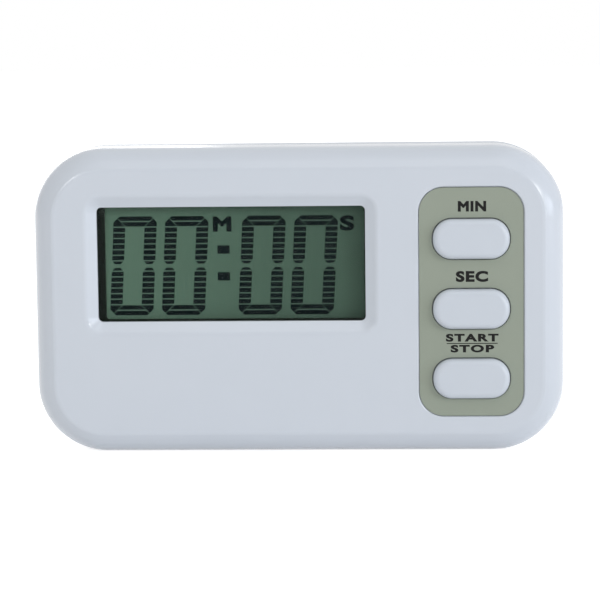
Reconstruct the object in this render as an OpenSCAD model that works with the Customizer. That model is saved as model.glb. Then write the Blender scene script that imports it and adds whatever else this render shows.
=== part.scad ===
// Digital kitchen timer: two-part plastic case, liquid crystal display, three push keys,
// one AAA cell under a sliding door, two magnets and a fold-out stand on the back.
//
// Frame: +X to the right as the display is read, +Y from the front to the back, +Z up.
// The origin lies under the middle of the timer, on the surface that it stands on.
// Every sub-part is drawn face-on: x across, y up from the base, z the depth behind the
// front face. face_on() stands that drawing up in the frame.

/* [Case] */
// Width of the case
body_w = 76; // [70:0.5:100]
// Height of the case, which stands on its long edge
body_h = 44; // [42:0.5:60]
// Depth of the case without the keys and magnets
body_d = 15; // [15:0.5:22]
// Radius of the four corners seen from the front
corner_r = 10; // [8:0.5:12]
// Tight radius where the front face turns into its soft edge
front_break_r = 1.6; // [1:0.1:2]
// Large radius of the soft edge between that break and the side wall
front_soft_r = 4.5; // [4:0.5:6]
// Angle through which the tight radius turns
front_break_angle = 25; // [25:1:40]
// Radius of the edge round the back face
rear_round = 2; // [1:0.25:2.5]
// Thickness of the side and back walls
wall_t = 1.6; // [1.5:0.1:2]
// Thickness of the front face
face_t = 1.8; // [1.6:0.1:2.4]
// Depth behind the front face at which the two case halves meet
split_d = 8.5; // [7.5:0.25:10]
// Thickness of the lip that locates the two halves
lip_t = 0.65; // [0.5:0.05:0.8]
// Height of that lip
lip_h = 1; // [0.6:0.1:1.5]

/* [Display window] */
// Width of the window opening
window_w = 38.4; // [28:0.2:41]
// Height of the window opening
window_h = 16.5; // [12:0.25:17]
// Gap from the left side of the case to the window
window_left = 9.25; // [8.5:0.25:12]
// Gap from the top of the case to the window
window_top = 8.35; // [8:0.05:12]
// Corner radius of the window opening
window_corner_r = 0.7; // [0.4:0.1:1.5]
// Width of the slope round the window
window_slope_w = 1.6; // [0.8:0.1:2]
// Depth of the slope round the window
window_slope_d = 1.1; // [0.5:0.1:1.4]

/* [Display stack] */
// Thickness of the clear window pane
pane_t = 1; // [0.8:0.1:1.2]
// Overlap of the pane behind the edge of the window
pane_overlap = 2; // [1.5:0.1:2.5]
// Thickness of the black gasket between pane and display
gasket_t = 0.5; // [0.3:0.1:0.8]
// How far the gasket shows inside the left edge of the window
gasket_show_left = 0.95; // [0.1:0.05:1.5]
// How far the gasket shows inside the other edges of the window
gasket_show = 0.15; // [0.05:0.05:0.5]
// Thickness of each polarising film
film_t = 0.2; // [0.15:0.05:0.3]
// Thickness of each display glass
glass_t = 0.7; // [0.5:0.1:0.8]
// How much wider the display glass is than the window
glass_wider = 3.6; // [2.6:0.1:4]
// Height of the front glass, with its contact ledge at the bottom
glass_h = 20.9; // [20.5:0.1:21]
// Height of the contact ledge
ledge_h = 2; // [1.6:0.1:2.2]

/* [Keys] */
// Width of the key panel
panel_w = 15; // [14.5:0.1:17]
// Height of the key panel
panel_h = 32.9; // [31:0.1:34]
// Gap from the right side of the case to the key panel
panel_right = 5.8; // [5:0.1:6.5]
// Gap from the base to the key panel
panel_bottom = 5.4; // [5:0.1:7]
// Corner radius of the key panel
panel_corner_r = 3.6; // [2:0.1:5]
// Depth of the recess that holds the panel
panel_recess_d = 0.6; // [0.4:0.05:0.8]
// Thickness of the panel sheet
panel_t = 0.4; // [0.2:0.05:0.5]
// Width of a key
key_w = 10.9; // [9:0.1:12]
// Height of a key
key_h = 5.7; // [4.5:0.1:6.2]
// Corner radius of a key seen from the front
key_corner_r = 2.7; // [1.5:0.1:2.8]
// Radius of the soft edge round the top of a key
key_round = 0.9; // [0.3:0.1:1]
// Distance from one key to the next
key_pitch = 10; // [9.5:0.1:10.5]
// Height of the middle key above the base
middle_key_y = 20.9; // [20.5:0.1:23]
// How far a key stands out of the front face
key_proud = 1.1; // [0.6:0.1:1.5]
// Travel of a key
key_travel = 0.8; // [0.5:0.1:0.9]
// Gap between a key and the hole that it moves in
key_gap = 0.15; // [0.1:0.05:0.25]

/* [Battery] */
// Diameter of the cell
cell_d = 10.5; // [10.5:0.1:10.5]
// Length of the cell without its positive button
cell_l = 43.7; // [43.7:0.1:43.7]
// Height of the cell's axis above the base
cell_y = 8.4; // [8.2:0.1:9]
// Gap from the left wall to the end of the cell
cell_gap = 4.1; // [3.9:0.1:6]
// Gap from the front face to the cell
cell_front = 2.4; // [2.1:0.1:2.6]
// Left edge of the door, measured from the left side of the case
door_left = 4.4; // [4.2:0.1:5]
// Top edge of the door opening above the base
door_top = 14.2; // [14:0.1:15]

/* [Stand and magnets] */
// Width of the stand
stand_w = 20; // [14:0.5:22]
// Length of the stand from its hinge to its free end
stand_l = 20; // [14:0.5:21]
// Thickness of the stand
stand_t = 1.8; // [1.4:0.1:2]
// Height of the hinge above the base
stand_y = 19.2; // [19:0.1:20]
// Radius of the hinge barrel
barrel_r = 1.6; // [1.5:0.05:1.8]
// Radius of the hinge pins
pin_r = 0.8; // [0.6:0.05:0.9]
// Length of each hinge pin
pin_l = 1.2; // [1:0.1:1.5]
// Angle at which the open stand meets its stop
stand_angle = 115; // [90:1:120]
// Diameter of each magnet
magnet_d = 10; // [8:0.5:11]
// Thickness of each magnet
magnet_t = 3; // [2:0.25:3]
// How far a magnet stands out of the back
magnet_proud = 0.5; // [0.1:0.1:1]
// Height of the magnets above the base
magnet_y = 29.5; // [28:0.5:31]
// Distance of each magnet from the middle of the stand
magnet_reach = 17.2; // [16.8:0.1:17.6]

/* [Electronics] */
// Thickness of the circuit board
board_t = 1; // [0.8:0.1:1.2]
// Depth of the circuit board's front side behind the front face
board_d = 7.2; // [7.1:0.1:7.6]
// Diameter of the buzzer's brass disc
buzzer_d = 18; // [15:0.5:18]
// Diameter of the buzzer's ceramic disc
ceramic_d = 12; // [10:0.5:13]
// Gap from the right side of the case to the middle of the buzzer
buzzer_right = 13; // [12.8:0.1:13.2]
// Height of the middle of the buzzer above the base
buzzer_y = 26.5; // [26:0.1:27]
// Diameter of each sound hole
sound_hole_d = 1.4; // [1:0.1:1.8]
// Radius of the ring of sound holes
sound_ring_r = 3.6; // [3:0.1:5]

/* [Fasteners] */
// Shank diameter of the case screws
case_screw_d = 2; // [1.8:0.1:2.2]
// Shank diameter of the board screws
board_screw_d = 1.7; // [1.5:0.1:1.8]
// Clearance between a screw and its hole
screw_gap = 0.03; // [0.02:0.01:0.05]

/* [Hidden] */
$fn = 48;
eps = 0.01;
seat_gap = 0.05;
moving_gap = 0.3;
shaft_gap = 0.05;

// The case sides, and the front face's place that centres the whole depth on the origin
left_x = -body_w / 2;
right_x = body_w / 2;
front_y = (key_proud - magnet_proud - body_d) / 2;
inner_d = body_d - wall_t;

// Display window and stack
window_x = left_x + window_left + window_w / 2;
window_y = body_h - window_top - window_h / 2;
pane_w = window_w + 2 * pane_overlap;
glass_w = window_w + glass_wider;
pane_h = window_h + 2 * pane_overlap;
gasket_d = face_t + pane_t;
front_film_d = gasket_d + gasket_t;
front_glass_d = front_film_d + film_t;
rear_glass_d = front_glass_d + glass_t;
rear_film_d = rear_glass_d + glass_t;
stack_end_d = rear_film_d + film_t;
glass_top = window_y + glass_h / 2 - (glass_h - pane_h) / 2;
glass_bottom = glass_top - glass_h;
front_round_gap = front_soft_r - front_break_r + 0.01;
front_edge_w = front_soft_r - front_round_gap * sin(front_break_angle);
front_edge_d = front_break_r + front_round_gap * cos(front_break_angle);
front_break_d = front_break_r * (1 - cos(front_break_angle));
fence_t = 0.9;
fence_gap = 0.2;

// Keys
panel_x = right_x - panel_right - panel_w / 2;
panel_y = panel_bottom + panel_h / 2;
panel_edge_r = 0.25;
panel_gap = 0.1;
key_x = panel_x;
key_ys = [middle_key_y + key_pitch, middle_key_y, middle_key_y - key_pitch];
flange_rim = 0.75;
flange_t = 0.8;
plunger_w = 5;
plunger_h = 2.8;
pill_r = 1.3;
pill_t = 0.4;
pill_spare = 0.5;
dome_boss_l = 1.1;
dome_boss_end_d = board_d - pill_spare - key_travel - pill_t;
dome_top_d = dome_boss_end_d - dome_boss_l;
dome_r = 2;
dome_foot_r = 3.2;
dome_web_t = 0.35;
sheet_t = 1;
sheet_w = 10.4;
sheet_rim = 1;
sheet_d = board_d - sheet_t;

// Circuit board
board_left = window_x - glass_w / 2 + 0.75;
board_right = right_x - 8;
board_top = body_h - 2.4;
board_rear_d = board_d + board_t;

// Cell and its compartment
cell_x = left_x + wall_t + cell_gap;
cell_axis_d = cell_front + cell_d / 2;
cell_end = cell_x + cell_l;
nub_l = 0.8;
nub_d = 3.8;
compartment_right = cell_end + nub_l + 0.9;
compartment_wall_t = 1.2;
shelf_t = 1;
compartment_top = cell_y + cell_d / 2 + 0.3;
contact_t = 0.35;
contact_w = 5;
contact_h = 5.6;
spring_x = cell_x - 2.6;
board_leg_left = compartment_right + compartment_wall_t + seat_gap + 0.15;
board_step = compartment_top + shelf_t + 0.65;
lead_r = 0.35;
lead_d = board_rear_d + 1.8;
notch_y = compartment_top - 1.6;
door_gap = 0.15;
door_right = compartment_right;
tongue_w = 0.9;
tongue_t = 0.65;
door_x0 = left_x + door_left;

// Stand, hinge and magnets
stand_x = window_x;
barrel_sink = 0.1;
hinge_d = body_d - barrel_r - barrel_sink;
recess_floor_t = 1;
barrel_clear = 0.3;
hinge_cheek_t = pin_l + 0.6;
stop_drop = (body_d - hinge_d) * tan(stand_angle / 2) + 0.25;
recess_w = stand_w + 2 * moving_gap;
recess_top = stand_y + stand_l + moving_gap;
recess_d = body_d - stand_t - 0.25;
scoop_w = 8;
scoop_h = 1.2;
magnet_xs = [stand_x - magnet_reach, stand_x + magnet_reach];
magnet_seat_d = body_d + magnet_proud - magnet_t;

// Buzzer
buzzer_x = right_x - buzzer_right;
buzzer_place = [buzzer_x, buzzer_y];
buzzer_brass_t = 0.2;
buzzer_ceramic_t = 0.2;
buzzer_seat_d = inner_d - 1;
buzzer_ring_t = 1;

// Screws: [x, y] of each
corner_inset_x = wall_t + 3;
corner_inset_y = wall_t + 5.4;
case_screw_places = [
  [left_x + corner_inset_x, body_h - corner_inset_y],
  [right_x - corner_inset_x, body_h - corner_inset_y],
  [right_x - corner_inset_x, corner_inset_y],
  [left_x + corner_inset_x, compartment_top + shelf_t + 3.95]
];
case_boss_d = 4.2;
rear_boss_d = 5.6;
boss_meet_d = split_d + 0.5;
screw_seat_d = body_d - 2.8;
head_d = 3.4;
head_t = 1.3;
board_screw_places = [
  [board_left + 3.3, board_top - 1.6],
  [board_right - 2, board_top - 1.6],
  [board_leg_left + 2.1, 4.9],
  [board_right - 2.2, 4.9]
];
board_post_d = 3.4;

// ---------- shared shapes ----------

// Stands a face-on drawing (x across, y up, z depth) up in the timer's frame
module face_on() {
  translate([0, front_y, 0]) mirror([0, 1, 0]) rotate([90, 0, 0]) children();
}

// Rectangle with true round corners, centred
module rounded_rect(w, h, r) {
  square([w - 2 * r, h], center = true);
  square([w, h - 2 * r], center = true);
  for (sx = [-1, 1], sy = [-1, 1])
    translate([sx * (w / 2 - r), sy * (h / 2 - r)]) circle(r);
}

// Flat plate with rounded corners from depth d0 to d1, centred on x, y
module plate(x, y, w, h, r, d0, d1) {
  translate([x, y, d0]) linear_extrude(d1 - d0) rounded_rect(w, h, r);
}

// Box between two corners given face-on
module block(x0, x1, y0, y1, d0, d1) {
  translate([x0, y0, d0]) cube([x1 - x0, y1 - y0, d1 - d0]);
}

// Round rod along the depth
module rod(place, r, d0, d1) {
  translate([place[0], place[1], d0]) cylinder(r = r, h = d1 - d0);
}

// Sweeps a 2D profile round a rounded rectangle. The profile's x is the reach from the
// corner's centre and its y is the depth
module swept_slab(w, h, corner, depth) {
  long_x = w - 2 * corner;
  long_y = h - 2 * corner;
  for (k = [0:3]) {
    side = (k % 2 == 0) ? long_y : long_x;
    half = (k % 2 == 0) ? long_x / 2 : long_y / 2;
    rotate(90 * k) {
      translate([half, side / 2, 0]) rotate_extrude(angle = 90) children();
      translate([half, side / 2, 0]) rotate([90, 0, 0]) linear_extrude(side) children();
    }
  }
  translate([-long_x / 2, -long_y / 2, 0]) cube([long_x, long_y, depth]);
}

// Edge profile of a slab: a straight side with a round at the front and at the rear
module edge_profile(reach, depth, front_r, rear_r) {
  translate([0, front_r]) square([reach, depth - front_r - rear_r]);
  square([reach - front_r, depth - rear_r]);
  translate([0, front_r]) square([reach - rear_r, depth - front_r]);
  if (front_r > 0) translate([reach - front_r, front_r]) circle(front_r);
  if (rear_r > 0) translate([reach - rear_r, depth - rear_r]) circle(rear_r);
}

// Edge profile of the case front: a tight round at the face, then a large one down to the side.
// The two rounds cross at a shallow angle, so that the edge between them is a clean one
module soft_edge_profile(reach, depth) {
  intersection() {
    union() {
      translate([reach - front_soft_r, front_edge_d]) circle(front_soft_r);
      translate([0, -1]) square([reach - front_edge_w, depth + 1]);
      translate([0, front_edge_d]) square([reach, depth - front_edge_d]);
    }
    union() {
      square([reach - front_edge_w, depth]);
      translate([0, front_break_d]) square([reach + 1, depth - front_break_d]);
      translate([reach - front_edge_w, front_break_r]) circle(front_break_r);
    }
  }
}

// Slab with rounded corners and rounded front and rear edges
module rounded_slab(x, y, w, h, corner, d0, d1, front_r, rear_r) {
  translate([x, y, d0]) swept_slab(w, h, corner, d1 - d0)
    edge_profile(corner, d1 - d0, front_r, rear_r);
}

// Slope profile of an opening: it narrows from the face to the opening, and a round of
// radius blend softens the edge where the slope meets the face
module slope_profile(corner, slope_w, slope_d, blend) {
  angle = atan(slope_d / slope_w);
  tangent = blend * tan(angle / 2);
  difference() {
    polygon([
      [0, 0],
      [corner + slope_w + tangent, 0],
      [corner + slope_w - tangent * cos(angle), tangent * sin(angle)],
      [corner, slope_d],
      [0, slope_d]
    ]);
    translate([corner + slope_w + tangent, blend]) circle(blend);
  }
}

// Tube swept along a list of points, with flat ends
function unit(v) = v / norm(v);
function side_of(t) = unit(cross(t, abs(t[2]) < 0.9 ? [0, 0, 1] : [0, 1, 0]));
function heading(path, i) =
  unit(path[min(i + 1, len(path) - 1)] - path[max(i - 1, 0)]);
function ring(path, i, r, sides) =
  let (t = heading(path, i), u = side_of(t), v = cross(t, u))
  [for (k = [0:sides - 1]) path[i] + r * (cos(360 * k / sides) * u + sin(360 * k / sides) * v)];
module tube(path, r, sides = 8) {
  rings = len(path);
  points = [for (i = [0:rings - 1]) each ring(path, i, r, sides)];
  skin = [for (i = [0:rings - 2], k = [0:sides - 1], half = [0, 1])
    let (a = i * sides + k, b = i * sides + (k + 1) % sides)
    half == 0 ? [a, b, b + sides] : [a, b + sides, a + sides]];
  first_end = [for (k = [0:sides - 1]) sides - 1 - k];
  last_end = [for (k = [0:sides - 1]) (rings - 1) * sides + k];
  polyhedron(points = points, faces = concat([first_end], skin, [last_end]));
}

// Smooth path through four control points
function bezier(p, steps) = [for (i = [0:steps])
  let (t = i / steps, s = 1 - t)
  s * s * s * p[0] + 3 * s * s * t * p[1] + 3 * s * t * t * p[2] + t * t * t * p[3]];

// ---------- case ----------

// Front half: face, window opening, key panel recess, key holes and inner posts
module front_housing() {
  color([0.93, 0.94, 0.96]) face_on() difference() {
    union() {
      difference() {
        translate([0, body_h / 2, 0]) swept_slab(body_w, body_h, corner_r, split_d)
          soft_edge_profile(corner_r, split_d);
        case_cavity(face_t, split_d + 1, front_edge_w - 1.2, 0);
        lip_rebate();
      }
      for (p = case_screw_places) rod(p, case_boss_d / 2, face_t - eps, boss_meet_d);
      for (p = board_screw_places) rod(p, board_post_d / 2, face_t - eps, board_d);
      display_fence();
      for (x = [cell_x + 10, cell_end - 10]) cell_saddle(x);
      key_guides();
    }
    for (p = case_screw_places) rod(p, case_screw_d / 2 + screw_gap, face_t + 0.6, boss_meet_d + 1);
    for (p = board_screw_places) rod(p, board_screw_d / 2 + screw_gap, face_t + 0.4, board_d + 1);
    plate(window_x, window_y, window_w, window_h, window_corner_r, -1, face_t + 1);
    translate([window_x, window_y, 0])
      swept_slab(window_w, window_h, window_corner_r, window_slope_d)
        slope_profile(window_corner_r, window_slope_w, window_slope_d, 1.2);
    plate(panel_x, panel_y, panel_w, panel_h, panel_corner_r, -1, panel_recess_d);
    translate([panel_x, panel_y, 0])
      swept_slab(panel_w, panel_h, panel_corner_r, panel_edge_r)
        rim_round_profile(panel_corner_r, panel_edge_r);
    for (y = key_ys)
      plate(key_x, y, key_w + 2 * key_gap, key_h + 2 * key_gap, key_corner_r + key_gap, -1, face_t + 2);
  }
}

// Round that softens the sharp rim of a recess
module rim_round_profile(corner, r) {
  difference() {
    square([corner + r, r]);
    translate([corner + r, r]) circle(r);
  }
}

// Space inside the walls
module case_cavity(d0, d1, front_r, rear_r) {
  rounded_slab(0, body_h / 2, body_w - 2 * wall_t, body_h - 2 * wall_t, corner_r - wall_t,
    d0, d1, front_r, rear_r);
}

// Room for the rear half's lip in the front half's wall
module lip_rebate() {
  inset = wall_t - lip_t - 0.1;
  plate(0, body_h / 2, body_w - 2 * inset, body_h - 2 * inset, corner_r - inset,
    split_d - lip_h - 0.15, split_d + 1);
}

// Low fence that holds the pane and the display glass sideways
module display_fence() {
  fence_w = max(pane_w, glass_w) + 2 * fence_gap;
  fence_top = glass_top + fence_gap;
  fence_bottom = min(glass_bottom, window_y - pane_h / 2) - fence_gap;
  difference() {
    block(window_x - fence_w / 2 - fence_t, window_x + fence_w / 2 + fence_t,
      fence_bottom - fence_t, fence_top + fence_t, face_t - eps, rear_film_d);
    block(window_x - fence_w / 2, window_x + fence_w / 2, fence_bottom, fence_top,
      face_t - 1, rear_film_d + 1);
  }
}

// Saddle that the cell lies in
module cell_saddle(x) {
  saddle_t = 1.2;
  difference() {
    block(x - saddle_t / 2, x + saddle_t / 2, wall_t - eps, compartment_top - 0.1,
      face_t - eps, cell_axis_d - 2);
    translate([x - 1, cell_y, cell_axis_d]) rotate([0, 90, 0]) cylinder(d = cell_d + 0.1, h = 2);
  }
}

// Collars behind the face that guide the key flanges' upper and lower sides
module key_guides() {
  guide_h = 0.8;
  for (y = key_ys, s = [-1, 1])
    translate([0, y + s * (key_h / 2 + flange_rim + guide_h / 2 + 0.2), 0])
      block(key_x - 3, key_x + 3, -guide_h / 2, guide_h / 2, face_t - eps, face_t + flange_t + 1);
}

// Rear half: back wall with the door opening, stand recess, magnet pockets and sound holes
module rear_housing() {
  color([0.92, 0.93, 0.95]) face_on() difference() {
    union() {
      difference() {
        union() {
          rounded_slab(0, body_h / 2, body_w, body_h, corner_r, split_d, body_d, 0, rear_round);
          lip_block();
        }
        case_cavity(split_d - lip_h - 1, inner_d, 0, 0);
      }
      for (p = case_screw_places) rod(p, rear_boss_d / 2, boss_meet_d + seat_gap, inner_d + eps);
      stand_housing();
      for (x = magnet_xs)
        rod([x, magnet_y], magnet_d / 2 + 1, magnet_seat_d - 1, inner_d + eps);
      rod(buzzer_place, buzzer_d / 2 + buzzer_ring_t + 0.2, buzzer_seat_d - 1.4, inner_d + eps);
      compartment_walls();
    }
    rod(buzzer_place, buzzer_d / 2 + seat_gap, buzzer_seat_d - 2, buzzer_seat_d);
    rod(buzzer_place, buzzer_d / 2 - 1, buzzer_seat_d - 2, inner_d);
    for (p = case_screw_places) {
      rod(p, case_screw_d / 2 + 0.15, boss_meet_d - 1, body_d);
      rod(p, head_d / 2 + 0.25, screw_seat_d, body_d + 1);
    }
    stand_recess();
    for (x = magnet_xs) rod([x, magnet_y], magnet_d / 2 + seat_gap, magnet_seat_d, body_d + 1);
    sound_holes();
    door_opening();
    lead_notches();
  }
}

// Notches that let the two battery leads out of the cell's compartment
module lead_notches() {
  block(compartment_right - 1, compartment_right + compartment_wall_t + 1, notch_y, compartment_top,
    lead_d - 0.8, lead_d + 1.4);
  block(spring_x - 0.4, spring_x + 3.2, compartment_top - 1, compartment_top + 2,
    lead_d - 0.8, lead_d + 0.9);
}

// Outside of the lip that slips into the front half
module lip_block() {
  inset = wall_t - lip_t;
  plate(0, body_h / 2, body_w - 2 * inset, body_h - 2 * inset, corner_r - inset,
    split_d - lip_h, split_d + 1);
}

// Walls above and beside the cell, and the rail behind the door's left tongue
module compartment_walls() {
  wall_end = compartment_right + compartment_wall_t;
  shelf_end = compartment_top + shelf_t;
  clear = front_edge_w / 2 + 0.3;
  block(left_x + wall_t - eps, wall_end, compartment_top, shelf_end, split_d, inner_d + eps);
  block(left_x + wall_t + clear, wall_end, compartment_top, shelf_end, face_t + 0.3,
    split_d + eps);
  block(compartment_right, wall_end, wall_t - eps, shelf_end, split_d, inner_d + eps);
  block(compartment_right, wall_end, wall_t + clear, shelf_end, face_t + 0.3,
    split_d + eps);
  intersection() {
    block(left_x + wall_t - eps, door_x0, wall_t - eps, shelf_end, inner_d - 1.2,
      inner_d + eps);
    plate(0, body_h / 2, body_w - wall_t, body_h - wall_t, corner_r - wall_t / 2, 0, body_d);
  }
}

// Extra wall behind the stand's recess, its hinge and its cheeks
module stand_housing() {
  cheek_w = recess_w + 2 * hinge_cheek_t;
  block(stand_x - recess_w / 2 - 1, stand_x + recess_w / 2 + 1, stand_y - stop_drop - 1,
    min(recess_top + 1, body_h - wall_t), recess_d - recess_floor_t, inner_d + eps);
  block(stand_x - cheek_w / 2, stand_x + cheek_w / 2, stand_y - barrel_r - barrel_clear - 0.4,
    stand_y + barrel_r + barrel_clear + 1,
    hinge_d - barrel_r - barrel_clear - recess_floor_t, inner_d + eps);
}

// Recess for the folded stand, with a scoop for a fingertip at its free end
module stand_recess() {
  plate(stand_x, (stand_y + recess_top) / 2, recess_w, recess_top - stand_y + 2 * eps, 0.3,
    recess_d, body_d + 1);
  block(stand_x - recess_w / 2, stand_x + recess_w / 2, stand_y - stop_drop, stand_y + 1,
    hinge_d - 0.3, body_d + 1);
  translate([stand_x - recess_w / 2, stand_y, hinge_d]) rotate([0, 90, 0])
    cylinder(r = barrel_r + barrel_clear, h = recess_w);
  translate([stand_x - recess_w / 2 - pin_l - 0.1, stand_y, hinge_d]) rotate([0, 90, 0])
    cylinder(r = pin_r + shaft_gap, h = recess_w + 2 * pin_l + 0.2);
  plate(stand_x, recess_top, scoop_w, 2 * scoop_h, 1, recess_d, body_d + 1);
}

// Seven holes that let the buzzer be heard
module sound_holes() {
  rod(buzzer_place, sound_hole_d / 2, inner_d - 1, body_d + 1);
  for (k = [0:5])
    rod([buzzer_x + sound_ring_r * cos(60 * k), buzzer_y + sound_ring_r * sin(60 * k)],
      sound_hole_d / 2, inner_d - 1, body_d + 1);
}

// Opening for the door, its two side grooves and the pocket for its top tab
module door_opening() {
  block(door_x0, door_right, -1, door_top, inner_d - eps, body_d + 1);
  groove_d0 = inner_d - eps;
  groove_d1 = inner_d + tongue_t + door_gap;
  block(door_x0 - tongue_w - door_gap, door_right + tongue_w + door_gap, -1, door_top,
    groove_d0, groove_d1);
  block(tab_x0() - door_gap, tab_x1() + door_gap, door_top - 1, door_top + 0.9, groove_d0, groove_d1);
}

function tab_x0() = (door_x0 + door_right) / 2 - 3.5;
function tab_x1() = (door_x0 + door_right) / 2 + 3.5;

// Sliding door over the cell, with side tongues, a top tab and grip ridges
module battery_door() {
  ridge_w = 9;
  color([0.92, 0.93, 0.95]) face_on() difference() {
    intersection() {
      union() {
        block(door_x0 + door_gap, door_right - door_gap, -1, door_top - door_gap,
          inner_d + seat_gap, body_d + 1);
        block(door_x0 - tongue_w, door_right + tongue_w, -1, door_top - door_gap,
          inner_d + seat_gap, inner_d + tongue_t);
        block(tab_x0(), tab_x1(), door_top - 1, door_top + 0.7, inner_d + seat_gap,
          inner_d + tongue_t);
      }
      rounded_slab(0, body_h / 2, body_w, body_h, corner_r, split_d, body_d, 0, rear_round);
    }
    block(left_x, right_x, -1, 0.15, 0, body_d + 1);
    for (k = [0:4])
      block((tab_x0() + tab_x1() - ridge_w) / 2, (tab_x0() + tab_x1() + ridge_w) / 2,
        3.2 + 1.4 * k, 3.9 + 1.4 * k, body_d - 0.4, body_d + 1);
  }
}

// Fold-out stand: a flap with a round hinge barrel and two pins
module stand() {
  color([0.9, 0.91, 0.93]) face_on() {
    difference() {
      union() {
        plate(stand_x, stand_y + stand_l / 2, stand_w, stand_l, 2, body_d - stand_t, body_d);
        block(stand_x - stand_w / 2, stand_x + stand_w / 2, stand_y, stand_y + 3,
          body_d - stand_t, body_d);
        translate([stand_x - stand_w / 2, stand_y, hinge_d]) rotate([0, 90, 0])
          cylinder(r = barrel_r, h = stand_w);
        translate([stand_x - stand_w / 2 - moving_gap - pin_l, stand_y, hinge_d])
          rotate([0, 90, 0]) cylinder(r = pin_r, h = stand_w + 2 * (moving_gap + pin_l));
      }
      plate(stand_x, stand_y + stand_l / 2 + 1, stand_w - 6, stand_l - 8, 1, body_d - 0.5, body_d + 1);
    }
  }
}

// Two ferrite discs glued into the back
module magnets() {
  color([0.22, 0.22, 0.23]) face_on()
    for (x = magnet_xs) rod([x, magnet_y], magnet_d / 2, magnet_seat_d, magnet_seat_d + magnet_t);
}

// ---------- display ----------

// Clear pane glued behind the window
module display_window() {
  color([0.85, 0.92, 0.9, 0.4]) face_on()
    plate(window_x, window_y, pane_w, pane_h, 0.8, face_t, face_t + pane_t);
}

// Black gasket, whose opening leaves a dark border inside the window's left edge
module lcd_gasket() {
  x0 = window_x - window_w / 2 + gasket_show_left;
  x1 = window_x + window_w / 2 - gasket_show;
  y0 = window_y - window_h / 2 + gasket_show;
  y1 = window_y + window_h / 2 - gasket_show;
  color([0.08, 0.08, 0.07]) face_on() difference() {
    plate(window_x, window_y, pane_w, pane_h, 0.8, gasket_d, gasket_d + gasket_t);
    plate((x0 + x1) / 2, (y0 + y1) / 2, x1 - x0, y1 - y0, 0.4, gasket_d - 1, gasket_d + 2);
  }
}

// One film or glass of the stack between two heights
module stack_layer(y0, y1, d0, t) {
  block(window_x - glass_w / 2, window_x + glass_w / 2, y0, y1, d0, d0 + t);
}

module front_polariser() {
  color([0.45, 0.52, 0.45, 0.5]) face_on()
    stack_layer(glass_bottom + ledge_h, glass_top, front_film_d, film_t);
}

module lcd_front_glass() {
  color([0.75, 0.85, 0.8, 0.4]) face_on()
    stack_layer(glass_bottom, glass_top, front_glass_d, glass_t);
}

module lcd_rear_glass() {
  color([0.6, 0.7, 0.62, 0.6]) face_on()
    stack_layer(glass_bottom + ledge_h, glass_top, rear_glass_d, glass_t);
}

module rear_polariser() {
  color([0.42, 0.48, 0.42]) face_on()
    stack_layer(glass_bottom + ledge_h, glass_top, rear_film_d, film_t);
}

// Striped rubber that joins the glass's contact ledge to the board
module zebra_strip() {
  color([0.9, 0.45, 0.3]) face_on()
    block(window_x - glass_w / 2 + 0.5, window_x + glass_w / 2 - 0.5, glass_bottom + 0.1,
      glass_bottom + ledge_h - 0.2, rear_glass_d, board_d);
}

// Foam that presses the top of the display forward
module lcd_foam_pad() {
  color([0.2, 0.2, 0.2]) face_on()
    block(window_x - glass_w / 2 + 2, window_x + glass_w / 2 - 2, glass_top - 3, glass_top - 0.5,
      stack_end_d, board_d);
}

// ---------- keys ----------

// Grey sheet round the keys
module button_panel() {
  color([0.59, 0.62, 0.55]) face_on() difference() {
    plate(panel_x, panel_y, panel_w - 2 * panel_gap, panel_h - 2 * panel_gap,
      panel_corner_r - panel_gap, panel_recess_d - panel_t, panel_recess_d);
    for (y = key_ys)
      plate(key_x, y, key_w + 2 * key_gap, key_h + 2 * key_gap, key_corner_r + key_gap, -1, 2);
  }
}

// Key cap: rounded button, flange behind the face and plunger on the dome
module key_cap(y) {
  color([0.94, 0.95, 0.97]) face_on() {
    flange_d = face_t + seat_gap;
    rounded_slab(key_x, y, key_w, key_h, key_corner_r, -key_proud, flange_d + flange_t, key_round, 0);
    plate(key_x, y, key_w + 2 * flange_rim, key_h + 2 * flange_rim, key_corner_r + flange_rim,
      flange_d, flange_d + flange_t);
    plate(key_x, y, plunger_w, plunger_h, 0.8, flange_d + flange_t - eps, dome_top_d);
  }
}

module minutes_button() { key_cap(key_ys[0]); }
module seconds_button() { key_cap(key_ys[1]); }
module start_stop_button() { key_cap(key_ys[2]); }

// Silicone sheet on the board, open under each dome
module keypad_sheet() {
  color([0.75, 0.75, 0.73]) face_on() difference() {
    plate(key_x, middle_key_y, sheet_w, 2 * (key_pitch + dome_foot_r + sheet_rim), 1,
      sheet_d, board_d);
    for (y = key_ys) rod([key_x, y], dome_foot_r, sheet_d - 1, board_d + 1);
  }
}

// Rubber dome that springs a key back: a boss on a thin cone
module dome(y) {
  cone_l = sheet_d - dome_boss_end_d;
  inner_r = dome_foot_r - dome_web_t;
  color([0.78, 0.78, 0.76]) face_on() translate([key_x, y, 0]) difference() {
    union() {
      translate([0, 0, dome_top_d]) cylinder(r = dome_r, h = dome_boss_l + eps);
      translate([0, 0, dome_boss_end_d]) cylinder(r1 = dome_r, r2 = dome_foot_r, h = cone_l);
      translate([0, 0, sheet_d - eps]) cylinder(r = dome_foot_r, h = sheet_t + eps);
    }
    translate([0, 0, dome_boss_end_d])
      cylinder(r1 = dome_r - dome_web_t, r2 = inner_r, h = cone_l + eps);
    translate([0, 0, sheet_d]) cylinder(r = inner_r, h = sheet_t + 1);
  }
}

module minutes_dome() { dome(key_ys[0]); }
module seconds_dome() { dome(key_ys[1]); }
module start_stop_dome() { dome(key_ys[2]); }

// Carbon pill under a dome that closes the contact on the board
module pill(y) {
  color([0.1, 0.1, 0.1]) face_on()
    rod([key_x, y], pill_r, dome_boss_end_d, dome_boss_end_d + pill_t);
}

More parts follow.
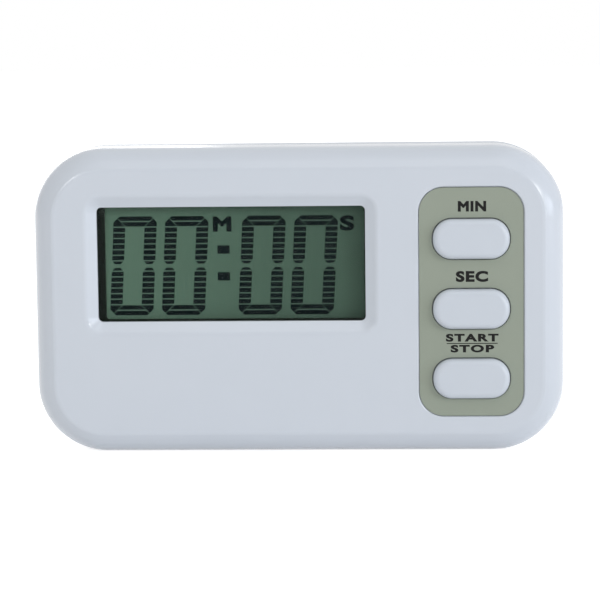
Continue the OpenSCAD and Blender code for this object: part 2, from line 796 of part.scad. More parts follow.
module minutes_pill() { pill(key_ys[0]); }
module seconds_pill() { pill(key_ys[1]); }
module start_stop_pill() { pill(key_ys[2]); }

// ---------- electronics ----------

// L-shaped board: behind the display, and down behind the keys
module circuit_board() {
  color([0.2, 0.42, 0.2]) face_on() difference() {
    union() {
      block(board_left, board_right, board_step, board_top, board_d, board_rear_d);
      block(board_leg_left, board_right, wall_t + 0.8, board_step + 1, board_d, board_rear_d);
    }
    for (p = board_screw_places) rod(p, board_screw_d / 2 + 0.1, board_d - 1, board_rear_d + 1);
  }
}

// Epoxy drop over the controller chip
module controller_blob() {
  blob_r = 4.5;
  blob_t = 1.4;
  sphere_r = (blob_r * blob_r + blob_t * blob_t) / (2 * blob_t);
  color([0.07, 0.07, 0.08]) face_on() intersection() {
    translate([window_x + 4, window_y + 2, board_rear_d + blob_t - sphere_r]) sphere(sphere_r, $fn = 96);
    rod([window_x + 4, window_y + 2], blob_r + 1, board_rear_d, board_rear_d + blob_t + 1);
  }
}

// Watch crystal in its small round can
module quartz_crystal() {
  can_r = 1;
  can_l = 6;
  color([0.75, 0.76, 0.78]) face_on()
    translate([window_x - 12, window_y + 3, board_rear_d + can_r]) rotate([0, 90, 0])
      cylinder(r = can_r, h = can_l);
}

// Chip resistors and capacitors
module chip_components() {
  color([0.25, 0.22, 0.2]) face_on()
    for (k = [0:5])
      block(window_x - 14 + 4.2 * k, window_x - 12 + 4.2 * k, board_top - 5.2, board_top - 3.95,
        board_rear_d, board_rear_d + 0.6);
}

// Pan-head screw driven from the back, its head against depth seat
module screw(place, shank_r, top_r, top_t, seat, tip) {
  difference() {
    union() {
      rod(place, shank_r, tip, seat + eps);
      rod(place, top_r, seat, seat + top_t);
    }
    for (turn = [0, 90])
      translate([place[0], place[1], seat + top_t]) rotate(turn)
        cube([1.5 * top_r, 0.32 * top_r, 1.1 * top_t], center = true);
  }
}

module board_screws() {
  color([0.7, 0.7, 0.72]) face_on()
    for (p = board_screw_places) screw(p, board_screw_d / 2, 1.5, 0.9, board_rear_d, face_t + 1.4);
}

module case_screws() {
  color([0.6, 0.6, 0.62]) face_on()
    for (p = case_screw_places) screw(p, case_screw_d / 2, head_d / 2, head_t, screw_seat_d, face_t + 2);
}

// Brass disc of the buzzer on its ring seat
module buzzer_disc() {
  color([0.8, 0.65, 0.3]) face_on()
    rod(buzzer_place, buzzer_d / 2, buzzer_seat_d - buzzer_brass_t, buzzer_seat_d);
}

module buzzer_ceramic() {
  color([0.88, 0.86, 0.8]) face_on()
    rod(buzzer_place, ceramic_d / 2, buzzer_seat_d - buzzer_brass_t - buzzer_ceramic_t,
      buzzer_seat_d - buzzer_brass_t);
}

// Wires from the buzzer to the board: one from the ceramic, one from the brass
module buzzer_wires() {
  wire_r = 0.3;
  start_d = buzzer_seat_d - buzzer_brass_t - buzzer_ceramic_t - wire_r;
  color([0.15, 0.15, 0.15]) face_on() {
    tube(bezier([
      [buzzer_x - 2, buzzer_y + 2, start_d],
      [buzzer_x - 5, buzzer_y + 5, start_d - 2],
      [buzzer_x - 8, buzzer_y + 10, start_d - 2],
      [buzzer_x - 8, buzzer_y + 10, board_rear_d + seat_gap]], 12), wire_r);
    tube(bezier([
      [buzzer_x - 7, buzzer_y, start_d + buzzer_ceramic_t],
      [buzzer_x - 8, buzzer_y + 3, start_d - 3],
      [buzzer_x - 10.5, buzzer_y + 10, start_d - 2],
      [buzzer_x - 10.5, buzzer_y + 10, board_rear_d + seat_gap]], 12), wire_r);
  }
}

// AAA cell with its positive button to the right
module battery_cell() {
  color([0.25, 0.3, 0.42]) face_on() translate([cell_x, cell_y, cell_axis_d]) rotate([0, 90, 0]) {
    cylinder(d = cell_d, h = cell_l);
    translate([0, 0, cell_l - eps]) cylinder(d = nub_d, h = nub_l + eps);
  }
}

// Nickel plate behind the spring at the cell's negative end
module negative_contact() {
  color([0.8, 0.8, 0.78]) face_on()
    block(spring_x - contact_t, spring_x, cell_y - contact_w / 2, cell_y + contact_w / 2 + 1.5,
      cell_axis_d - contact_h / 2, cell_axis_d + contact_h / 2);
}

// Tapered coil that presses on the cell's negative end
module negative_spring() {
  turns = 3;
  wire_r = 0.3;
  steps = 48;
  reach = cell_x - spring_x;
  gap = 0.03;
  color([0.8, 0.8, 0.78]) face_on()
    tube([for (i = [0:steps])
      let (t = i / steps, a = 360 * turns * t, r = 2.3 - 0.9 * t)
      [spring_x + wire_r + gap + (reach - 2 * wire_r - 2 * gap) * t,
        cell_y + r * cos(a), cell_axis_d + r * sin(a)]],
      wire_r);
}

// Nickel plate with a dimple at the cell's positive end
module positive_contact() {
  plate_x = compartment_right - contact_t - seat_gap;
  color([0.8, 0.8, 0.78]) face_on() {
    block(plate_x, plate_x + contact_t, cell_y - contact_w / 2, cell_y + contact_w / 2 + 1.2,
      cell_axis_d - contact_h / 2, cell_axis_d + contact_h / 2);
    translate([cell_end + nub_l, cell_y, cell_axis_d]) rotate([0, 90, 0])
      cylinder(d = 2.4, h = plate_x - cell_end - nub_l + eps);
  }
}

// Lead from the positive contact, through the notch in the wall, to the board
module positive_lead() {
  x0 = compartment_right - contact_t - seat_gap - lead_r - seat_gap;
  color([0.7, 0.1, 0.1]) face_on()
    tube(bezier([
      [x0, cell_y + contact_w / 2 + 0.9, lead_d],
      [x0, notch_y + 1.6, lead_d],
      [board_leg_left + 1.6, notch_y + 0.8, lead_d + 0.6],
      [board_leg_left + 1.6, notch_y + 0.8, board_rear_d + seat_gap]], 12), lead_r);
}

// Lead from the negative contact, through the notch above it, to the board
module negative_lead() {
  x0 = spring_x + lead_r + seat_gap;
  color([0.1, 0.1, 0.1]) face_on()
    tube(bezier([
      [x0, cell_y + contact_w / 2 + 1, lead_d],
      [x0, compartment_top + 1.6, lead_d],
      [board_left + 1.4, board_step + 0.5, lead_d + 1],
      [board_left + 1.4, board_step + 0.5, board_rear_d + seat_gap]], 14), lead_r);
}

// ---------- assembly ----------

front_housing();
rear_housing();
button_panel();
display_window();
lcd_gasket();
front_polariser();
lcd_front_glass();
lcd_rear_glass();
rear_polariser();
zebra_strip();
lcd_foam_pad();
minutes_button();
seconds_button();
start_stop_button();
keypad_sheet();
minutes_dome();
seconds_dome();
start_stop_dome();
minutes_pill();
seconds_pill();
start_stop_pill();
circuit_board();
controller_blob();
quartz_crystal();
chip_components();
board_screws();
buzzer_disc();
buzzer_ceramic();
buzzer_wires();
battery_cell();
negative_contact();
negative_spring();
positive_contact();
positive_lead();
negative_lead();
battery_door();
stand();
magnets();
case_screws();
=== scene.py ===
# %% [markdown]
# # A kitchen timer, finished and lit
#
# The timer arrives as a finished construction model: case halves, keys, display stack, cell,
# door and stand, each already in its place and able to move. This lesson doesn't change any
# of those shapes. It gives them their finishes, adds the fine parts that a construction model
# leaves out (the display's figures, the printed words beside the keys), and sets up the light
# and the camera.

# %% Load the timer
import math

import bmesh
import bpy
from mathutils import Matrix, Vector


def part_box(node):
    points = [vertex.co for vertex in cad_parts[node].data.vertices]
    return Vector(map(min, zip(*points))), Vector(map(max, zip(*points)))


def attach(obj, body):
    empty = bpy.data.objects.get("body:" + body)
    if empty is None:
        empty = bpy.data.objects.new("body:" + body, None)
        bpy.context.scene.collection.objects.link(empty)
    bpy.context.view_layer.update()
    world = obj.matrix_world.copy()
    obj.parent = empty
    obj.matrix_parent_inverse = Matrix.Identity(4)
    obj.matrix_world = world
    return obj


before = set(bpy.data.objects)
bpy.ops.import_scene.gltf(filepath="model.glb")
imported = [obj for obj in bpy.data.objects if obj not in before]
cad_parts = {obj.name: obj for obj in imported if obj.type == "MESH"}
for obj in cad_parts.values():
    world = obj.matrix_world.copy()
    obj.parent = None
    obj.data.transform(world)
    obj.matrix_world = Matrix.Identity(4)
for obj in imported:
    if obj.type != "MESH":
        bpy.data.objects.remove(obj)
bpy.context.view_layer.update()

MM = 0.001

# %% [markdown]
# ## Where things are
#
# Every position below is measured from a part of the timer. The front face of the case, the
# key panel and the display's film give the planes that printed things lie on, and the middles
# of the window and of the keys say where on those planes. Typed lengths are in millimetres,
# because that is how a maker thinks of a timer, and MM turns them into metres at the end.

# %% Measure the planes
def middle(node):
    """The middle of a part, seen from the front: x and z in mm."""
    low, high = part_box(node)
    return (low.x + high.x) / 2 / MM, (low.z + high.z) / 2 / MM


face_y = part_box("front_housing")[0].y
panel_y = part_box("button_panel")[0].y
film_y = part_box("front_polariser")[0].y
window_low, window_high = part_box("display_window")
window_x, window_z = middle("display_window")
print("face", round(face_y / MM, 2), "film", round(film_y / MM, 2), "panel",
      round(panel_y / MM, 2), "window middle", round(window_x, 2), round(window_z, 2))

# %% [markdown]
# ## The camera
#
# A small product looks most like itself through a long lens, from a little above and slightly
# to one side, so that its outline stays almost square-on. The camera looks at the middle of
# the front face from 350 mm away and leans by half a degree, as a hand-levelled tripod does.
# It could be placed with a tracking constraint, but two angles and a roll say the same thing
# plainly and leave nothing live in the scene.

# %% Set the camera
DISTANCE = 350 * MM
FOCAL_MM, SENSOR_MM = 147.33, 36
PITCH, YAW, ROLL = math.radians(6.935), math.radians(2.534), math.radians(-0.6446)
aim = Vector((0.316 * MM, face_y, 22.32 * MM))
back = Vector((math.sin(YAW) * math.cos(PITCH), -math.cos(YAW) * math.cos(PITCH), math.sin(PITCH)))
lens = bpy.data.cameras.new("portrait_lens")
lens.lens, lens.sensor_width, lens.clip_start = FOCAL_MM, SENSOR_MM, 10 * MM
camera = bpy.data.objects.new("portrait_camera", lens)
bpy.context.scene.collection.objects.link(camera)
turned = back.to_track_quat("Z", "Y").to_matrix().to_4x4() @ Matrix.Rotation(ROLL, 4, "Z")
camera.matrix_world = Matrix.Translation(aim + DISTANCE * back) @ turned
bpy.context.scene.camera = camera
print("camera at", [round(v, 3) for v in camera.location])

# %% [markdown]
# ## One way to write a material
#
# A material is a small network of nodes. Blender's editor draws it, but a script needs only
# one helper: it adds a node, sets its properties, and fills its sockets with either a value or
# a link. Colours are read off swatches as hex codes, which are meant for screens, so a second
# helper turns each into the linear light that the renderer works with.

# %% Colour and node helpers
def swatch(code):
    """The linear colour of an sRGB hex code."""
    parts = [int(code[i:i + 2], 16) / 255 for i in (1, 3, 5)]
    return [c / 12.92 if c <= 0.04045 else ((c + 0.055) / 1.055) ** 2.4 for c in parts] + [1]


def add(tree, kind, sockets=None, **settings):
    """Adds one node. settings are its properties; sockets are its inputs, by name or number."""
    made = tree.nodes.new("ShaderNode" + kind)
    for name, value in settings.items():
        setattr(made, name, value)
    for name, value in (sockets or {}).items():
        if isinstance(value, bpy.types.NodeSocket):
            tree.links.new(value, made.inputs[name])
        else:
            made.inputs[name].default_value = value
    return made


def start_material(name):
    """An empty material, its tree, and an output node."""
    material = bpy.data.materials.new(name)
    material.use_nodes = True
    material.node_tree.nodes.clear()
    return material, material.node_tree, add(material.node_tree, "OutputMaterial")


print("the case's white in linear light:", [round(v, 3) for v in swatch("#d2d8e1")])

# %% [markdown]
# ## Moulded and rubbed surfaces
#
# Most of the timer is injection-moulded ABS. Up close such a surface is never one colour: the
# resin flows in faint cloudy streaks, and the mould's polish leaves a very fine unevenness
# that softens reflections. Rubber, foam, film and paint differ only in how strong and how
# coarse those two effects are. So one builder makes all of them: a large soft noise shifts the
# colour between two swatches, a fine noise shifts the roughness, and the same fine noise lifts
# the surface a few thousandths of a millimetre. Both sizes are given in millimetres.

# %% Surface builder
def surface(name, light, dark, rough, cloud_mm=6, grain_mm=0.35, lift_mm=0.002, shift=0.06,
            metal=0, **shader):
    """A solid finish: light and dark swatches, roughness, the sizes of its clouds and grain."""
    material, tree, out = start_material(name)
    place = add(tree, "TexCoord").outputs["Object"]
    cloud = add(tree, "TexNoise", {"Vector": place, "Scale": 1 / (cloud_mm * MM), "Detail": 3})
    grain = add(tree, "TexNoise", {"Vector": place, "Scale": 1 / (grain_mm * MM), "Detail": 2})
    tint = add(tree, "Mix", {0: cloud.outputs["Fac"], 6: swatch(dark), 7: swatch(light)},
               data_type="RGBA")
    gloss = add(tree, "MapRange", {"Value": grain.outputs["Fac"], "From Min": 0.3,
                                   "From Max": 0.7, "To Min": rough - shift,
                                   "To Max": rough + shift})
    bump = add(tree, "Bump", {"Height": grain.outputs["Fac"], "Distance": lift_mm * MM,
                              "Strength": 1})
    body = add(tree, "BsdfPrincipled", {"Base Color": tint.outputs[2], "Metallic": metal,
                                        "Roughness": gloss.outputs[0],
                                        "Normal": bump.outputs[0], **shader})
    tree.links.new(body.outputs[0], out.inputs["Surface"])
    return material


# Injection-moulded ABS: cool white and semi-gloss in front, duller on the back
abs_case = surface("abs_case_white", "#d2d8e1", "#ced5de", 0.2, 9, 2.5, 0.002, 0.02)
abs_back = surface("abs_back_white", "#d1d8e1", "#cbd2dc", 0.4, 9, 0.6, 0.004, 0.05)
# The keys are the same resin from a finer mould
abs_keys = surface("abs_key_white", "#cfd6df", "#ccd3dc", 0.26, 4, 2, 0.0006, 0.005)
print("plastic finishes:", abs_case.name, abs_back.name, abs_keys.name)

# %% [markdown]
# ## The clear pane and the display
#
# A liquid crystal display is a sandwich: a polarising film, two thin glasses with the figures
# between them, another film and a reflector. Every clear layer could be given a shader that
# lets light pass, but a ray of light gives up after a few of them and the display turns black.
# So only the pane in front is see-through. The film behind it carries the grey-green that the
# whole sandwich shows, and the figures lie on it. Real glass shaders bend light, and then the
# lamps can't shine straight through, so the display fills with noise. The pane is thin and
# flat, so light may as well pass straight: a Transparent shader carries its tint, and a little
# Glossy over it, by Fresnel, gives the shine.

# %% Clear layers
def clear_layer(name, tint, shine, rough, streak_mm=8):
    """A thin flat see-through layer with a faint uneven tint. shine is its IOR, matched."""
    material, tree, out = start_material(name)
    place = add(tree, "TexCoord").outputs["Object"]
    streak = add(tree, "TexNoise", {"Vector": place, "Scale": 1 / (streak_mm * MM), "Detail": 2})
    hue = add(tree, "Mix", {0: streak.outputs["Fac"], 6: swatch(tint),
                            7: [min(1, 1.02 * c) for c in swatch(tint)]}, data_type="RGBA")
    through = add(tree, "BsdfTransparent", {"Color": hue.outputs[2]})
    mirror = add(tree, "BsdfGlossy", {"Color": (1, 1, 1, 1), "Roughness": rough})
    edge = add(tree, "Fresnel", {"IOR": shine})
    both = add(tree, "MixShader", {0: edge.outputs[0], 1: through.outputs[0],
                                   2: mirror.outputs[0]})
    tree.links.new(both.outputs[0], out.inputs["Surface"])
    return material


acrylic = clear_layer("acrylic_pane", "#fafcfb", 1.1, 0.04)
display_glass = clear_layer("display_soda_glass", "#f6faf8", 1.3, 0.05)
print("clear layers:", acrylic.name, display_glass.name)

# %% [markdown]
# The film isn't one green. Its colour runs between two swatches along the width of the window,
# lighter at the left and darker at the right, over the faint speckle of the reflector behind it.
# That run is painted shade: it stands for the light falling off across the display. A cell's
# printed sleeve uses the same builder with a short run: its print changes colour near the + end.

# %% Colours that run along X
def running_colour(name, first, second, span, speck_mm, detail, speck, gloss, **shader):
    """A finish that changes from first to second across span, a pair of X places.

    speck maps a fine noise (its low and high) to a dimmer and a brighter tone, and gloss is
    the roughness at the noise's 0 and 1.
    """
    material, tree, out = start_material(name)
    place = add(tree, "TexCoord").outputs["Object"]
    along = add(tree, "SeparateXYZ", {"Vector": place}).outputs["X"]
    run = add(tree, "MapRange", {"Value": along, "From Min": span[0], "From Max": span[1]})
    wash = add(tree, "Mix", {0: run.outputs[0], 6: swatch(first), 7: swatch(second)},
               data_type="RGBA")
    noise = add(tree, "TexNoise", {"Vector": place, "Scale": 1 / (speck_mm * MM),
                                   "Detail": detail}).outputs["Fac"]
    tone = add(tree, "MapRange", {"Value": noise, "From Min": speck[0], "From Max": speck[1],
                                  "To Min": speck[2], "To Max": speck[3]})
    colour = add(tree, "Mix", {0: 1, 6: wash.outputs[2], 7: tone.outputs[0]}, data_type="RGBA",
                 blend_type="MULTIPLY")
    sheen = add(tree, "MapRange", {"Value": noise, "To Min": gloss[0], "To Max": gloss[1]})
    body = add(tree, "BsdfPrincipled", {"Base Color": colour.outputs[2],
                                        "Roughness": sheen.outputs[0], **shader})
    tree.links.new(body.outputs[0], out.inputs["Surface"])
    return material


# painted shade: the film's green darkens from the left of the window to the right
film = running_colour("polarising_film_painted_shade", "#678271", "#4b6054", (window_low.x, window_high.x),
                      0.25, 3, (0.3, 0.7, 0.9, 1.08), (0.5, 0.7), **{"Specular IOR Level": 0.1})
cell_low, cell_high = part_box("battery_cell")
band_x = cell_low.x + 0.72 * (cell_high.x - cell_low.x)
sleeve = running_colour("cell_sleeve", "#3b4763", "#b98a45", (band_x, band_x + 0.01 * MM),
                        3, 2, (0, 1, 0.9, 1.05), (0.24, 0.36))
print("film runs over", round((window_high.x - window_low.x) / MM, 1), "mm; the cell's band",
      round((cell_high.x - band_x) / MM, 1), "mm")

# %% [markdown]
# ## Everything inside
#
# Nobody sees most of these, but the door slides off and the part may be opened up by whoever
# reuses it. Each gets the finish of the real thing: solder mask, epoxy, tinned and plated
# metal, brass, fired ceramic, ferrite and rubber.

# %% Finishes of the inner parts
# name: (light, dark, roughness, cloud mm, grain mm, lift mm, metal), and the parts that wear it
INNER = {
    "reflector_film": (("#8d9c8a", "#849382", 0.6, 5, 0.12, 0.004, 0), ["rear_polariser"]),
    "gasket_foam": (("#17231b", "#101a13", 0.8, 3, 0.3, 0.004, 0), ["lcd_gasket"]),
    "panel_printed_sheet": (("#98a092", "#939b8d", 0.55, 8, 0.15, 0.004, 0), ["button_panel"]),
    "zebra_silicone": (("#c46a55", "#a85444", 0.6, 2, 0.2, 0.005, 0), ["zebra_strip"]),
    "open_foam": (("#2e2e2e", "#1c1c1c", 0.9, 1, 0.4, 0.08, 0), ["lcd_foam_pad"]),
    "keypad_silicone": (("#c3c3bf", "#b9b9b5", 0.5, 4, 0.2, 0.004, 0),
                        ["keypad_sheet", "minutes_dome", "seconds_dome", "start_stop_dome"]),
    "carbon_rubber": (("#222222", "#161616", 0.7, 1, 0.15, 0.006, 0),
                      ["minutes_pill", "seconds_pill", "start_stop_pill"]),
    "solder_mask": (("#1f6b35", "#17552a", 0.3, 5, 0.3, 0.003, 0), ["circuit_board"]),
    "black_epoxy": (("#17171a", "#0f0f11", 0.22, 2, 0.6, 0.01, 0), ["controller_blob"]),
    "crystal_can_metal": (("#d2d4d8", "#c2c4c9", 0.22, 2, 0.2, 0.001, 1), ["quartz_crystal"]),
    "chip_ceramic": (("#4c4038", "#3a312b", 0.5, 1, 0.2, 0.004, 0), ["chip_components"]),
    "zinc_plated_steel": (("#c4c6c8", "#aeb1b5", 0.35, 1, 0.15, 0.003, 1),
                          ["board_screws", "case_screws"]),
    "rolled_brass": (("#d9b764", "#c9a34e", 0.3, 3, 0.2, 0.002, 1), ["buzzer_disc"]),
    "silvered_ceramic": (("#e4ddcf", "#d8d0c0", 0.4, 3, 0.3, 0.002, 0), ["buzzer_ceramic"]),
    "black_pvc": (("#202020", "#181818", 0.4, 2, 0.3, 0.003, 0),
                  ["buzzer_wires", "negative_lead"]),
    "red_pvc": (("#b02020", "#941a1a", 0.4, 2, 0.3, 0.003, 0), ["positive_lead"]),
    "nickel_plate": (("#cfcabf", "#bdb8ad", 0.28, 2, 0.15, 0.002, 1),
                     ["negative_contact", "negative_spring", "positive_contact"]),
    "pressed_ferrite": (("#3d3d40", "#2e2e31", 0.55, 1.5, 0.12, 0.01, 0), ["magnets"]),
}
finishes = {
    abs_case: ["front_housing"],
    abs_back: ["rear_housing", "battery_door", "stand"],
    abs_keys: ["minutes_button", "seconds_button", "start_stop_button"],
    acrylic: ["display_window"],
    film: ["front_polariser"],
    display_glass: ["lcd_front_glass", "lcd_rear_glass"],
    sleeve: ["battery_cell"],
}
for name, (look, parts) in INNER.items():
    finishes[surface(name, *look[:-1], metal=look[-1])] = parts
print("finishes:", len(finishes))

# %% Put each finish on its parts
for finish, parts in finishes.items():
    for part in parts:
        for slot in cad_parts[part].material_slots:
            slot.material = finish
dressed = sum(len(parts) for parts in finishes.values())
print("dressed", dressed, "of", len(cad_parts), "parts")

# %% [markdown]
# ## The figures on the display
#
# The display reads 00:00. Its figures are etched conductors, and every upright stroke is split
# into short bars, so that a figure looks like a little ladder. A text object could stand
# in for the figures, but no typeface has these bars. Each figure is cut from thin boxes
# instead: the top stroke is two long bars, the sides are rows of bars, and two slanting cuts,
# one across the outer corner and one along the mitre, give every corner its look. One figure
# is a quarter, mirrored twice.

# %% Helpers for thin pieces
INK_T = 0.02 * MM


def bar(shape, low, high):
    """Adds a thin box between two corners (x, z in mm) to shape; returns its parts."""
    made = bmesh.ops.create_cube(shape, size=1)["verts"]
    size = Vector(((high[0] - low[0]) * MM, INK_T, (high[1] - low[1]) * MM))
    centre = Vector(((high[0] + low[0]) / 2 * MM, 0, (high[1] + low[1]) / 2 * MM))
    bmesh.ops.scale(shape, vec=size, verts=made)
    bmesh.ops.translate(shape, vec=centre, verts=made)
    return made


def trim(shape, verts, point, normal):
    """Cuts away the part of some boxes on normal's side of a line (x, z in mm)."""
    faces = list({f for v in verts if v.is_valid for f in v.link_faces})
    edges = list({e for f in faces for e in f.edges})
    cut = bmesh.ops.bisect_plane(
        shape, geom=[v for v in verts if v.is_valid] + edges + faces, dist=1e-9,
        plane_co=(point[0] * MM, 0, point[1] * MM), plane_no=(normal[0], 0, normal[1]),
        clear_outer=True)
    rim = [e for e in cut["geom_cut"] if isinstance(e, bmesh.types.BMEdge)]
    bmesh.ops.holes_fill(shape, edges=rim, sides=0)


def finish_piece(shape, name, material):
    """Turns a bmesh into an object that rides on the case."""
    bmesh.ops.remove_doubles(shape, verts=shape.verts, dist=1e-7)
    bmesh.ops.recalc_face_normals(shape, faces=shape.faces)
    mesh = bpy.data.meshes.new(name)
    shape.to_mesh(mesh)
    shape.free()
    piece = bpy.data.objects.new(name, mesh)
    bpy.context.scene.collection.objects.link(piece)
    mesh.materials.append(material)
    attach(piece, "case")


print("ink thickness", INK_T / MM, "mm")

# %% [markdown]
# The quarter is the upper left of a figure: half of the top stroke and the upper half of the
# left stroke, which narrows to a blunt tip by the middle of the figure.

# %% One figure as a quarter, mirrored twice
FIGURE_W, FIGURE_H = 6.25, 14.3
STROKE = 1.74            # width of an upright stroke
BAR, LINE = 0.64, 0.17   # height of a bar, and of the clear line between two
ROW, ROWS = 0.81, 6      # pitch and number of the bars in an upright
TIP_H = 0.4              # height of the blunt tip
CORNER_CUT = 0.85        # how much of a figure's outer corner is cut off


def quarter(shape):
    """Upper left quarter of a nought, its centre at the origin."""
    left, top = -FIGURE_W / 2, FIGURE_H / 2
    stroke_low = top - 2 * BAR - LINE
    for low in (top - BAR, stroke_low):
        made = bar(shape, (left, low), (0, low + BAR))
        trim(shape, made, (left + 0.36, top), (-1, -1))
    corner = bar(shape, (left, stroke_low), (left + STROKE, top))
    trim(shape, corner, (left + 0.24, top), (1, 1))
    rows = [stroke_low - LINE - BAR - ROW * k for k in range(ROWS)]
    for low in rows:
        bar(shape, (left, low), (left + STROKE, low + BAR))
    tip_top = rows[-1] - LINE
    tip = bar(shape, (left, tip_top - TIP_H), (left + STROKE, tip_top))
    trim(shape, tip, (left + STROKE - 0.15, tip_top), (1.2, -1))
    trim(shape, tip, (left + 0.1, tip_top), (-1.2, -1))


def nought():
    """A whole nought, its centre at the origin."""
    shape = bmesh.new()
    quarter(shape)
    for axis in ("X", "Z"):
        whole = shape.verts[:] + shape.edges[:] + shape.faces[:]
        bmesh.ops.mirror(shape, geom=whole, axis=axis, merge_dist=1e-7)
    for sx in (-1, 1):
        for sz in (-1, 1):
            trim(shape, shape.verts[:], (sx * (FIGURE_W / 2 - CORNER_CUT), sz * FIGURE_H / 2),
                 (sx, sz))
    return shape


sample = nought()
print("one figure:", len(sample.faces), "faces")
sample.free()

# %% [markdown]
# ## The display's ink
#
# A switched-on stroke isn't quite black: it is the two films crossed, a very dark green-blue
# that lets a trace of the reflector through. In the real display the strokes lie between the
# two glasses, 0.2 mm further back. Here they lie on the film that carries the colour. They
# lean a little to the right at the top, as the figures of most such displays do. Places are
# given from the middle of the window.

# %% Place the four figures and the colon
SLANT = math.radians(3.2)
FIGURE_Z = -0.4
FIGURES = {"minutes_tens": -14.23, "minutes_ones": -6.76, "seconds_tens": 4.32,
           "seconds_ones": 11.82}
COLON_X, COLON_W, COLON_H = -1.2, 1.76, 1.2
COLON_Z = (1.89, -1.98)
liquid_ink = surface("crossed_film_ink", "#0a181b", "#071113", 0.6, 1, 0.2, 0.001,
                     **{"Specular IOR Level": 0.05})


def place_on_film(shape, x, z):
    """Moves a flat shape to x, z (mm) from the middle of the window, on the film."""
    bmesh.ops.translate(shape, verts=shape.verts,
                        vec=((window_x + x) * MM, film_y, (window_z + z) * MM))


for name, x in FIGURES.items():
    figure = nought()
    for v in figure.verts:
        v.co.x += v.co.z * math.tan(SLANT)
    place_on_film(figure, x, FIGURE_Z)
    finish_piece(figure, "figure_" + name, liquid_ink)
colon = bmesh.new()
for z in COLON_Z:
    bar(colon, (-COLON_W / 2, z - COLON_H / 2), (COLON_W / 2, z + COLON_H / 2))
place_on_film(colon, COLON_X, 0)
finish_piece(colon, "figure_colon", liquid_ink)
print("figures placed:", len(FIGURES), "and the colon")

# %% [markdown]
# ## Letters
#
# Letters are the one place where Blender's text object beats modelling. Each word is typed,
# thickened a little with the curve's bevel to make it bold, given the thickness of ink, and
# turned into a mesh before it is stretched to its real width and height and stood up. The
# words say only what a key does, so they are plain capitals.

# %% A word as a thin mesh
WEIGHT = 0.05   # extra boldness, as a share of the type size


def word(name, letters, centre, size, y, material, spread=1.12):
    """A word whose capitals fill size (mm), standing at centre (x, z in mm) on the plane y."""
    curve = bpy.data.curves.new(name, "FONT")
    curve.body, curve.size, curve.bevel_depth, curve.extrude = letters, 1, WEIGHT, 0.01
    curve.resolution_u, curve.bevel_resolution, curve.space_character = 6, 0, spread
    typed = bpy.data.objects.new(name + "_typed", curve)
    bpy.context.scene.collection.objects.link(typed)
    bpy.context.view_layer.update()
    shape = bmesh.new()
    flat = bpy.data.meshes.new_from_object(typed.evaluated_get(
        bpy.context.evaluated_depsgraph_get()))
    shape.from_mesh(flat)
    bpy.data.objects.remove(typed)
    bpy.data.meshes.remove(flat)
    low = Vector([min(v.co[i] for v in shape.verts) for i in range(3)])
    high = Vector([max(v.co[i] for v in shape.verts) for i in range(3)])
    bmesh.ops.translate(shape, vec=-(low + high) / 2, verts=shape.verts)
    stretch = Vector((size[0] * MM / (high.x - low.x), size[1] * MM / (high.y - low.y),
                      INK_T / (high.z - low.z)))
    bmesh.ops.scale(shape, vec=stretch, verts=shape.verts)
    bmesh.ops.rotate(shape, verts=shape.verts, matrix=Matrix.Rotation(math.pi / 2, 3, "X"))
    bmesh.ops.translate(shape, vec=(centre[0] * MM, y, centre[1] * MM), verts=shape.verts)
    finish_piece(shape, name, material)


for name, letter, (x, z), size in (("unit_m", "M", (-1.35, 5.57), (2.69, 2.18)),
                                   ("unit_s", "S", (16.6, 5.6), (2.09, 2.21))):
    word(name, letter, (window_x + x, window_z + z), size, film_y, liquid_ink)
print("unit letters stand", round((window_z + 5.57), 2), "mm above the base")

# %% The words beside the keys
key_ink = surface("screen_print_black", "#101010", "#0a0a0a", 0.5, 2, 0.2, 0.001,
                  **{"Specular IOR Level": 0.2})
# name, letters, the key below it, place from the middle of that key, size, spread
LEGENDS = [
    ("legend_minutes", "MIN", "minutes_button", (0.12, 4.62), (4.01, 1.50), 1.12),
    ("legend_seconds", "SEC", "seconds_button", (0.09, 4.62), (4.57, 1.58), 1.12),
    ("legend_start", "START", "start_stop_button", (0.10, 5.84), (7.48, 1.14), 1.2),
    ("legend_stop", "STOP", "start_stop_button", (0.13, 4.27), (6.19, 1.10), 1.2),
]
for name, letters, key, (x, z), size, spread in LEGENDS:
    key_x, key_z = middle(key)
    word(name, letters, (key_x + x, key_z + z), size, panel_y, key_ink, spread)
rule = bmesh.new()
key_x, key_z = middle("start_stop_button")
bar(rule, (key_x + 0.1 - 3.62, key_z + 4.96), (key_x + 0.1 + 3.62, key_z + 5.08))
bmesh.ops.translate(rule, vec=(0, panel_y, 0), verts=rule.verts)
finish_piece(rule, "legend_rule", key_ink)
print("legends printed at depth", round((panel_y - face_y) / MM, 3), "mm")

# %% [markdown]
# ## Light and ground
#
# The timer stands on white paper in a bright room. A softbox high on the right puts the clear
# streak on its rounded corner, and a window beside it brightens every slope that faces right.
# A small softbox on the left draws the thin line round the inner corner, and two weak ones
# light the top and the back. The world fills the shadows. To the camera and in reflections
# the world is plain white, and the paper glows a little, which Light Path nodes arrange
# without throwing more light on the timer.

# %% Lamps
def softbox(name, direction, radiance, size, tint="#ffffff", distance=1.1):
    """A square lamp that shines on the timer; radiance 1 looks white."""
    lamp = bpy.data.lights.new(name, "AREA")
    lamp.color = swatch(tint)[:3]
    lamp.shape, lamp.size = "SQUARE", size
    lamp.energy = radiance * math.pi * size * size
    holder = bpy.data.objects.new(name, lamp)
    bpy.context.scene.collection.objects.link(holder)
    away = Vector(direction).normalized()
    holder.matrix_world = Matrix.Translation(aim + away * distance) @ away.to_track_quat(
        "Z", "Y").to_matrix().to_4x4()
    print(name, "gives", round(lamp.energy, 2), "W")


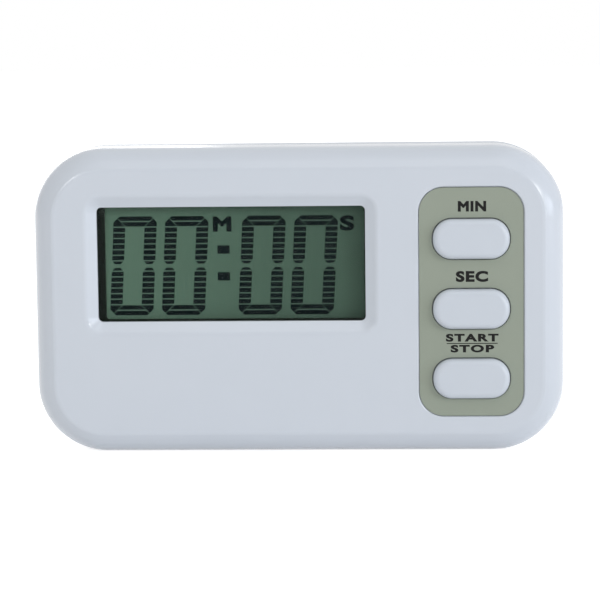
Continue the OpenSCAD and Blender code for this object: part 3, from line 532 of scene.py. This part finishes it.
softbox("key_softbox", (0.69, -0.64, 0.31), 16, 0.2)
softbox("right_window", (0.93, -0.36, 0.02), 4.6, 0.5, "#e9f1ff")
softbox("left_softbox", (-0.39, -0.85, 0.27), 7, 0.18)
softbox("top_softbox", (0.1, -0.48, 0.87), 0.7, 0.6)
softbox("back_softbox", (-0.35, 0.93, 0.1), 1.2, 0.6)

# %% World and floor
WORLD_LEVEL = 0.62   # what lights the timer; to the eye the world is 1
PAPER_GLOW = 0.74
FLOOR_ACROSS = 4


def seen_by(tree, *rays):
    """1 for light that reaches the eye along one of these kinds of ray, 0 for the rest."""
    path = add(tree, "LightPath")
    found = path.outputs[rays[0]]
    for ray in rays[1:]:
        found = add(tree, "Math", {0: found, 1: path.outputs[ray]}, operation="MAXIMUM").outputs[0]
    return found


world = bpy.data.worlds.new("white_room")
bpy.context.scene.world = world
world.use_nodes = True
world.node_tree.nodes.clear()
tree = world.node_tree
seen = seen_by(tree, "Is Camera Ray", "Is Glossy Ray", "Is Transmission Ray")
level = add(tree, "MapRange", {"Value": seen, "To Min": WORLD_LEVEL, "To Max": 1.0})
sky = add(tree, "Background", {"Color": (1, 1, 1, 1), "Strength": level.outputs[0]})
tree.links.new(sky.outputs[0], add(tree, "OutputWorld").inputs["Surface"])

paper, tree, out = start_material("white_paper")
fibre = add(tree, "TexNoise", {"Vector": add(tree, "TexCoord").outputs["Object"],
                               "Scale": 1 / (2 * MM), "Detail": 2})
shade = add(tree, "Mix", {0: fibre.outputs["Fac"], 6: swatch("#f2f2f2"), 7: swatch("#f6f6f6")},
            data_type="RGBA")
matt = add(tree, "BsdfDiffuse", {"Color": shade.outputs[2]})
seen = seen_by(tree, "Is Camera Ray", "Is Glossy Ray")
share = add(tree, "Math", {0: seen, 1: PAPER_GLOW}, operation="MULTIPLY")
glow = add(tree, "Emission", {"Color": (1, 1, 1, 1), "Strength": share.outputs[0]})
mixed = add(tree, "AddShader", {0: matt.outputs[0], 1: glow.outputs[0]})
tree.links.new(mixed.outputs[0], out.inputs["Surface"])
ground = bmesh.new()
bmesh.ops.create_grid(ground, x_segments=1, y_segments=1, size=FLOOR_ACROSS / 2)
mesh = bpy.data.meshes.new("floor")
ground.to_mesh(mesh)
ground.free()
floor = bpy.data.objects.new("floor", mesh)
bpy.context.scene.collection.objects.link(floor)
mesh.materials.append(paper)
bpy.context.scene.view_settings.view_transform = "Standard"
print("floor", FLOOR_ACROSS, "m across, world level", WORLD_LEVEL, "for light and 1 to the eye")
